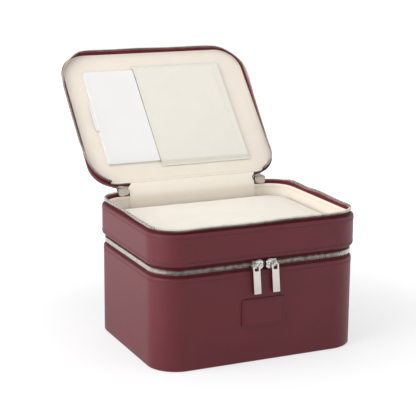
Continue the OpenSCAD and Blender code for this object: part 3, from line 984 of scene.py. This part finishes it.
def lining_stitches(name, inset, drop):
    """A row of fine stitches on the lining, its thread on the underside."""
    s = np.arange(1.0, case.length, STITCH * 0.7)
    places, ahead = (opened(case.carry(s + on, [(-inset, LID_Z - drop)])[:, 0]) for on in (0, 0.2))
    tangents = (ahead - places) / np.linalg.norm(ahead - places, axis=1)[:, None]
    down = np.broadcast_to(opened(FOLD + [0, 0, -1.0]) - FOLD, places.shape)
    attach(stitch_row(name, places, tangents, down, cream_thread, 0.6), "lid")


lining_stitches("lid_lining_stitches", BOARD_IN + 3.6, 0.12)


# ---------------------------------------------------------------- Upper zip, lid side
# The other half of the open zip runs round the lid's rim with its teeth pointing outwards
# from the lid. It stops short where the rear sliders sit.

lid_start = CASE_W / 2 - CORNER_R + CORNER_R * math.radians(20)


def splayed(points):
    """The free half leans away from the lid, more towards the teeth: out along the left side,
    out at the far end and in at the near end of the right side, out along the front, and in at
    the corners."""
    x, y, z = np.moveaxis(np.asarray(points), -1, 0)
    drop = np.clip((LID_Z - z) / 7.3, 0, 1)
    corner = smooth((np.abs(y) - 52) / 45) * smooth((np.abs(x) - 80) / 45)
    left = -6.2 * (1 - smooth((np.abs(y + 5) - 36) / 50))
    right = np.clip(0.6 - 0.075 * y, -3.4, 4.0) * (1 - corner)
    reach = np.where(x < 0, left, right) * smooth((np.abs(x) - 90) / 30)
    x = x + (reach - 2.2 * corner * np.sign(x)) * drop
    front = -3.0 * smooth((-y - 80) / 15) * (1 - corner)
    return opened(np.stack([x, y + (front - 2.2 * corner * np.sign(y)) * drop, z], -1))


s_lid_tape = case.steps(STEP, lid_start, case.length - lid_start)
s_lid_teeth = s_between[(s_between > lid_start + 0.6) & (s_between < case.length - lid_start - 0.6)]
tape("lid_zip_ribbon", s_lid_tape, 0.0, ZIP2_Z + 1.2 + sag(s_lid_tape), LID_Z + 3.5, "lid",
     "lid_zip_tape", splayed)
teeth("lid_zip_teeth_row", s_lid_teeth, 0.0, ZIP2_Z + ROOT_OFF + sag(s_lid_teeth), -1, "lid",
      "lid_zip_teeth", splayed)


# ---------------------------------------------------------------- Mirror pocket
# A sheet of the lining cloth with turned-in edges, sewn to the lid's lining along its top,
# right and lower sides and open to the left. It is stretched over the mirror, so it stands
# off the lining with sloping margins and shows the mirror's hidden end as a soft ridge.

POCKET_W = 123.0
POCKET_H = 154.0
POCKET_RIGHT = 92.0
MIRROR_W = 180.0
MIRROR_H = 139.0
MIRROR_LEFT = -100.0
MIRROR_LOW = 27.0
mirror_mid = (MIRROR_LEFT + MIRROR_W / 2, CASE_D / 2 - BOARD_IN - MIRROR_LOW - MIRROR_H / 2)
pocket_y0 = mirror_mid[1] - POCKET_H / 2


def two_sided(front, back):
    """The six grids of a thin closed sheet, from its two faces."""
    return [front, back[::-1], np.stack([back[0], front[0]]), np.stack([front[-1], back[-1]]),
            np.stack([front[:, 0], back[:, 0]]), np.stack([back[:, -1], front[:, -1]])]


def pocket_grids():
    """The pocket, shut: x and y run over the sheet, and its height off the lining is a plateau
    over the mirror that falls smoothly to the three sewn sides. At the right it stays up far
    enough for the mirror to be pushed further in."""
    even, edge = np.linspace(0, 1, 70), np.linspace(0, 12, 20) / POCKET_H
    u = np.concatenate([even, np.linspace(0, 4, 12) / POCKET_W,
                        1 - np.linspace(0, 14, 24) / POCKET_W])
    v = np.concatenate([np.linspace(0, 1, 60), edge, 1 - edge])
    u, v = np.meshgrid(np.unique(u), np.unique(v), indexing="ij")
    x, y = POCKET_RIGHT - POCKET_W * (1 - u), pocket_y0 + POCKET_H * v
    side = np.minimum(y - pocket_y0, pocket_y0 + POCKET_H - y)
    end = POCKET_RIGHT - x
    rise = smooth((side - 1.2) / 6.2) * smooth((end - 0.5) / 2.2)
    over_mirror = smooth((MIRROR_LEFT + MIRROR_W + 4 - x) / 5.0)
    bed = 0.45 + rise * (2.98 + 0.32 * over_mirror)
    hem = 0.75 * (1 - smooth((np.minimum(side, end) - 1.3) / 0.7))
    lip = 0.3 * (1 - smooth((x - (POCKET_RIGHT - POCKET_W) - 1.6) / 0.8))
    droop = 0.2 * np.sin(x / 17.0 + 0.4) * np.sin(y / 23.0) * rise
    height = bed + hem + lip + droop
    front = np.stack([x, y, LID_Z - height - 0.25], -1)
    return two_sided(front, front + [0, 0, 0.6])


cream_pocket = brushed_cloth("cream_pocket_cloth", (0.69, 0.66, 0.59), (0.80, 0.775, 0.71), 0.25)
faces = pocket_grids()
pocket = sew("mirror_pocket_cloth", [opened(face) for face in faces], cream_pocket,
             flat=[face[..., :2] for face in faces])
own(pocket, "lid", "cream_lining", "mirror_pocket")


# ---------------------------------------------------------------- Mirror
# A thin glass mirror on a white backing board slides in the pocket. Its corners are nipped
# round and its edges ground to a narrow bevel. A short ribbon pull shows at its left edge.

def clear_mirror(name):
    """Silvered glass: nearly a perfect mirror, with a trace of haze."""
    made, start = material(name)
    here = start.place()
    haze = here.noise(30 * MM, 2.0)
    start.skin({
        "Base Color": haze.tint((0.74, 0.73, 0.725), (0.78, 0.77, 0.765)), "Metallic": 1.0,
        "Roughness": haze * 0.03 + 0.06})
    return made


def plain_board(name, dark, light, fibre=0.8):
    """Coated or grey board: short fibres that make fine flecks."""
    made, start = material(name)
    here = start.place()
    fleck = here.noise(fibre * MM, 4.0, 0.7)
    start.skin({
        "Base Color": fleck.tint(dark, light), "Roughness": 0.8 + fleck * 0.15,
        "Normal": fleck.bump(0.05)})
    return made


mirror_plan = Outline(MIRROR_W, MIRROR_H, 2.0, mirror_mid)


def mirror_slab(name, z0, z1, bevel, look, node):
    """A plate of the mirror's plan from z0 to z1, bevelled on its lower side."""
    grid = slab(mirror_plan, 0.0, -z1, -z0, bevel, centre=mirror_mid, rings=6) * [1, 1, -1]
    own(sew(name, opened(grid), look, flat=grid[..., :2], flip=True), "mirror", node, node)


glass_z = LID_Z - 2.7
mirror_slab("mirror_plate", glass_z, glass_z + 1.6, 0.35, clear_mirror("mirror_silver"),
            "mirror_glass")
mirror_slab("mirror_back_board", glass_z + 1.6, glass_z + 2.4, 0.2,
            plain_board("white_board", (0.78, 0.77, 0.74), (0.88, 0.87, 0.85)), "mirror_backing")


def ribbon_tab():
    """The pull: a narrow ribbon folded over the mirror's edge, its free fold rounded."""
    along = np.linspace(-20, 20, 41)
    nip = 3.7 * (1 - np.clip(np.abs(along) / 20, 0, 1) ** 14) ** 0.5
    bend = np.linspace(0, 2 * math.pi, 13)
    x = MIRROR_LEFT + 1.0 - (nip + 1.0)[:, None] * (0.5 - 0.5 * np.cos(bend)) ** 0.7
    z = glass_z + 0.5 - 0.65 * np.sin(bend)
    return with_ends(np.stack(np.broadcast_arrays(x, mirror_mid[1] + along[:, None], z), -1))


ribbon = brushed_cloth("white_ribbon", (0.66, 0.655, 0.65), (0.78, 0.775, 0.77), 0.8)
tab = sew("mirror_ribbon_pull", opened(ribbon_tab()), ribbon, sharp=70)
own(tab, "mirror", "ribbon", "mirror_tab")


# ---------------------------------------------------------------- Hinge straps
# Two wide flaps of leather join the parts at the back, glued and sewn flat at both ends and
# curved between: a lower one from base to tray, an upper one from tray to lid.

STRAP_T = 1.3


def ribbon_along(path, half_width, thickness, hem=0.0, columns=30, slip=0.0):
    """A flat strip across the case whose middle line is a path of (y, z), closed all round. Its
    two long edges may be thicker by hem, as where cloth is folded under, and each place along
    the path may be moved sideways by slip."""
    path = np.asarray(path, float)
    ahead = np.gradient(path, axis=0)
    ahead /= np.linalg.norm(ahead, axis=1)[:, None]
    off = np.stack([ahead[:, 1], -ahead[:, 0]], -1)
    share = np.linspace(-1, 1, columns)
    reach = half_width * share
    extra = hem * smooth((np.abs(reach) - half_width + 3.2) / 0.5)
    x = reach[:, None] + np.broadcast_to(slip, len(path))
    faces = []
    for sign in (1, -1):
        reach_out = thickness / 2 + extra[:, None] * (sign > 0)
        y, z = (path[:, i] + sign * off[:, i] * reach_out for i in (0, 1))
        faces.append(np.stack([x, y, z], -1))
    return two_sided(*faces)


def curve_through(points, steps=60):
    """A smooth path through points: a cubic whose slope at each is that of its neighbours."""
    points = np.asarray(points, float)
    slope = np.gradient(points, axis=0)
    t = np.linspace(0, len(points) - 1 - 1e-9, steps)
    k, f = t.astype(int), (t % 1)[:, None]
    a, b = points[k], points[k + 1]
    return ((1 + 2 * f) * (1 - f) ** 2 * a + f * (1 - f) ** 2 * slope[k]
            + f * f * (3 - 2 * f) * b - f * f * (1 - f) * slope[k + 1])


half_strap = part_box("lower_hinge_strap_base")[1].x / MM
back_y = CASE_D / 2
tuck = back_y + 2.3
lower_path = curve_through([(back_y + 0.7, 80), (back_y + 0.7, 92), (back_y + 0.7, 104),
                            (back_y + 1.2, 110), (back_y + 2.0, 116), (tuck, 122), (tuck, 130),
                            (tuck, 137)])
lower_strap = sew("lower_hinge_flap", ribbon_along(lower_path, half_strap, STRAP_T), burgundy)
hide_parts("lower_hinge_strap_base", "lower_hinge_strap_band")
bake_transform(lower_strap)

lid_leaf = [tuple(opened([0, tuck, z])[1:]) for z in (LID_Z + 1.2, LID_Z + 3.8, LID_Z + 6.4)]
upper_path = curve_through([(tuck, 138), (tuck, 146), (tuck, 154), (tuck + 0.1, 160),
                            (tuck + 0.7, 163.6), (tuck + 2.2, 166.2), *lid_leaf])
upper_strap = sew("upper_hinge_flap", ribbon_along(upper_path, half_strap, STRAP_T), burgundy)
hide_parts("upper_hinge_strap_band", "upper_hinge_strap_lid")
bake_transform(upper_strap)


# ---------------------------------------------------------------- Inner hinge cloth
# Cream cloth that hides the fold on the inside: it comes up the tray's back wall, crosses
# the fold and goes under the edge of the lid's lining. Its two ends are hemmed and sewn.

cloth_low, cloth_high = corners("inner_hinge_panel")
CLOTH_T = 0.7
wall_y = CASE_D / 2 - ROOM_IN - 1.2
lid_edge = opened([0, CASE_D / 2 - BOARD_IN, LID_Z + 0.35])[1:]
lid_in = opened([0, CASE_D / 2 - BOARD_IN - 5.0, LID_Z + 0.55])[1:]
cloth_path = curve_through([(wall_y, cloth_low.z - 1), (wall_y, 149), (wall_y, 155),
                            (wall_y + 1.2, 159.5), (wall_y + 4.6, 163.4),
                            (wall_y + 9.2, 167.0), tuple(lid_edge), tuple(lid_in)], 80)
CLOTH_HALF = cloth_high.x + 1.0
slip = 6.5 * smooth((cloth_path[:, 0] - 100.5) / 8.5) - 0.2
inner_cloth = sew("inner_hinge_cloth", ribbon_along(cloth_path, CLOTH_HALF, CLOTH_T, 0.8, 90,
                                                    slip), cream)
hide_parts("inner_hinge_panel")
run = run_of(cloth_path)
stops = np.arange(2.0, 30.0, 2.2)
path_y, path_z, path_x = (np.interp(stops, run, row) for row in (*cloth_path.T, slip))
ahead = np.gradient(np.stack([path_x, path_y, path_z], -1), axis=0)
ahead /= np.linalg.norm(ahead, axis=1)[:, None]
away = np.cross(ahead, [1.0, 0, 0])
away /= np.linalg.norm(away, axis=1)[:, None]
hem_stitches = []
for word, reach in (("left", -CLOTH_HALF + 2.6), ("right", CLOTH_HALF - 2.6)):
    places = np.stack([path_x + reach, path_y, path_z], -1) + away * (CLOTH_T / 2 + 0.8)
    row = stitch_row(f"inner_hinge_stitches_{word}", places, ahead, away, cream_thread, 0.6)
    hem_stitches.append(row)
for piece in (inner_cloth, *hem_stitches):
    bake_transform(piece)


# ---------------------------------------------------------------- Sliders
# Four die-cast sliders, nickel-plated: two plates with lobed shoulders around the chain, and
# an arch on the outer one that carries the pull. Each is described about the middle of its
# chain with its outside towards -Y and its shoulders towards +X.

SLIDER_L = 15.0
SLIDER_H = 12.0
PLATE_IN = 2.4
PLATE_T = 1.6
PIVOT = np.array([-3.0, -6.2, 1.0])


def squared(w, power):
    """A sine or cosine bent towards a square."""
    return np.sign(w) * np.abs(w) ** power


def pillow_plate(sign):
    """A slider's plate: along x its half height is a narrow tail that widens to the shoulders,
    with a notch between their two lobes, and its section is a squared ellipse of power 5."""
    a = np.sin(np.linspace(-math.pi / 2, math.pi / 2, 34))
    x = a * SLIDER_L / 2
    around = np.linspace(0, 2 * math.pi, 33)
    half = 4.3 + (SLIDER_H / 2 - 4.3) * smooth((x + 4.5) / 6.0)
    close = np.maximum(1 - np.abs(a) ** 3.4, 0) ** 0.5
    thick = PLATE_T / 2 * np.maximum(1 - np.abs(a) ** 14, 0) ** 0.5
    z = (half * close)[:, None] * squared(np.cos(around), 0.42)
    lobes = np.cos(np.clip(np.abs(z) / (SLIDER_H / 2) - 0.5, -0.5, 0.5) * math.pi)
    notch = 1.5 * smooth((x - 3.0) / 4.0)[:, None] * (1 - lobes)
    y = thick[:, None] * squared(np.sin(around), 0.42)
    dome = 0.35 * (1 - (z / (SLIDER_H / 2)) ** 2) * (y < 0) * (sign < 0)
    centre = sign * (PLATE_IN + PLATE_T / 2)
    return np.stack([x[:, None] - notch, centre + y - dome, z], -1)


def tube(path, radius_a, radius_b, columns=13):
    """A rod along a path: an ellipse square to it, radius_a in the path's plane and radius_b
    across it, closed at both ends."""
    path = np.asarray(path, float)
    ahead = np.gradient(path, axis=0)
    ahead /= np.linalg.norm(ahead, axis=1)[:, None]
    across = np.array([0.0, 0.0, 1.0])
    off = np.cross(ahead, across)
    around = np.linspace(0, 2 * math.pi, columns)
    ring = radius_b * np.sin(around)[:, None] * across
    return with_ends(path[:, None] + radius_a * np.cos(around)[:, None] * off[:, None] + ring)


def arch():
    """The arch: a squared half ellipse from the plate, out over the pull's knuckle and back."""
    angle = np.linspace(0, math.pi, 26)
    c, s = np.cos(angle), np.sin(angle)
    x = PIVOT[0] + 3.5 * squared(c, 0.5)
    y = -(PLATE_IN + PLATE_T - 0.7) - (-PIVOT[1] - PLATE_IN - PLATE_T + 0.7) * s ** 0.45
    return tube(np.stack([x, y, np.full_like(x, PIVOT[2])], -1), 0.85, 0.9)


def stud():
    """The raised rivet on the shoulder, with a dimple: a profile of height over radius, spun."""
    radius = np.array([2.5, 2.4, 2.0, 1.3, 0.9, 0.5, 0.0])
    height = np.array([0.0, 0.75, 1.15, 1.2, 0.85, 0.7, 0.68])
    around = np.linspace(0, -2 * math.pi, 21)
    x = 3.9 + radius * np.cos(around)[:, None]
    z = radius * np.sin(around)[:, None]
    y = np.broadcast_to(-(PLATE_IN + PLATE_T + 0.1) - height, x.shape)
    return np.stack([x, y, z], -1)


def post_and_lips():
    """The post between the plates, and the flanges that fold in below the lower row."""
    post = np.array([[3.2, -PLATE_IN - 0.4, 0.0], [3.2, 0.0, 0.0], [3.2, PLATE_IN + 0.4, 0.0]])
    lips = [[(x, y * 1.95, z * 4.35) for x in np.linspace(-6.6, 5.2, 8)]
            for y in (-1, 1) for z in (-1, 1)]
    return [tube(post, 1.1, 0.33, 9), *(tube(line, 0.45, 0.65, 9) for line in lips)]


def facing_out(target, *meshes):
    """Puts meshes into one target mesh with every face turned outwards."""
    build = bmesh.new()
    for mesh in meshes:
        build.from_mesh(mesh)
    bmesh.ops.recalc_face_normals(build, faces=build.faces)
    build.to_mesh(target)
    build.free()


LEAN = 0.075
plated = zip_metal("pull_nickel", (0.45, 0.425, 0.39), (0.68, 0.65, 0.605), 0.20)
pull_low, pull_high = corners("lower_pull_left")
PULL_L = pull_high.z - pull_low.z - 2.0
PULL_W = pull_high.x - pull_low.x


def pull_bar():
    """The pull's flat part as a sheet of quads with a window left open near its top, to which
    thickness and bevels are added."""
    half, window = PULL_W / 2, 2.45
    x = np.array([-half, -window, window, half])
    z = np.array([-0.9, -2.1, -7.2, -8.9, -PULL_L * 0.6, -PULL_L])
    x, z = np.meshgrid(x, z, indexing="ij")
    points = np.stack([x, 0 * x, z], -1).reshape(-1, 3)
    quads = [(i * 6 + j, i * 6 + j + 1, i * 6 + j + 7, i * 6 + j + 6)
             for i in range(3) for j in range(5) if (i, j) != (1, 1)]
    return points, quads


def knuckle():
    """The curled loop that goes round the arch: a rounded section carried round the bar."""
    turn = np.linspace(0, 2 * math.pi, 27)
    section = np.linspace(0, -2 * math.pi, 13)
    x = 2.1 * squared(np.cos(section), 0.6)
    radius = 1.62 + 0.40 * squared(np.sin(section), 0.6)
    y, z = radius * np.cos(turn)[:, None], radius * np.sin(turn)[:, None]
    return np.stack([np.broadcast_to(x, y.shape), y, z], -1)


def build_pull(name, side, place, body):
    """Joins the bar and the knuckle into one pull. It hangs askew by LEAN, to that side."""
    points, quads = pull_bar()
    mesh = bpy.data.meshes.new(name)
    mesh.from_pydata((points * MM).tolist(), [], quads)
    bar = bpy.data.objects.new(name, mesh)
    bpy.context.scene.collection.objects.link(bar)
    solid = bar.modifiers.new("thickness", "SOLIDIFY")
    solid.thickness = 2.5 * MM
    solid.offset = 0
    rim = bar.modifiers.new("edges", "BEVEL")
    rim.width = 0.62 * MM
    rim.segments = 3
    rim.limit_method = "ANGLE"
    rim.angle_limit = math.radians(50)
    bake_modifiers(bar)
    flat = np.zeros(len(bar.data.vertices) * 3)
    bar.data.vertices.foreach_get("co", flat)
    flat = flat.reshape(-1, 3) / MM
    flat[:, 0] += LEAN * -flat[:, 2] * side
    bar.data.vertices.foreach_set("co", (place(flat + PIVOT) * MM).ravel())
    loop = sew(name + "_loop", place(knuckle() + PIVOT), plated)
    facing_out(bar.data, bar.data, loop.data)
    bpy.data.objects.remove(loop)
    bar.data.materials.clear()
    bar.data.materials.append(plated)
    bar.data.shade_smooth()
    bar.data.set_sharp_from_angle(angle=math.radians(35))
    own(bar, body, "zip_metal", body)


def build_slider(name, place, body):
    """Joins a slider's parts into one piece."""
    parts = [pillow_plate(-1), pillow_plate(1), arch(), stud(), *post_and_lips()]
    piece = sew(name, [place(part) for part in parts], plated, sharp=42)
    facing_out(piece.data, piece.data)
    own(piece, body, "zip_metal", body)


FRONT_X = 8.8
chain_y = CASE_D / 2 - ZIP_IN


def at_front(side):
    """Places a part on the lower chain, left (-1) or right (+1) of the middle of the front."""
    return lambda p: p * [-side, 1, 1] + [side * FRONT_X, -chain_y, ZIP1_Z]


def at_back(side):
    """Places a part on the upper chain at the start of a rear corner, outside to the back."""
    return lambda p: p * [side, -1, 1] + [side * (CASE_W / 2 - CORNER_R), chain_y, ZIP2_Z]


for side, word in ((-1, "left"), (1, "right")):
    for level, place in (("lower", at_front(side)), ("upper", at_back(side))):
        build_slider(f"{level}_zip_slider_{word}", place, f"{level}_slider_{word}")
        askew = -side if level == "lower" else 0
        build_pull(f"{level}_zip_pull_{word}", askew, place, f"{level}_pull_{word}")


# ---------------------------------------------------------------- Boards and stops
# What is left of the plain core: grey board behind the linings, and the small metal stops
# that close the ends of the zips.

grey_board = plain_board("grey_board", (0.34, 0.30, 0.24), (0.52, 0.47, 0.39), 0.9)
for name, node in frame["nodes"].items():
    if node.hide_render:
        continue
    look = nickel if name.endswith("zip_stops") else grey_board
    node.data.materials.clear()
    node.data.materials.append(look)
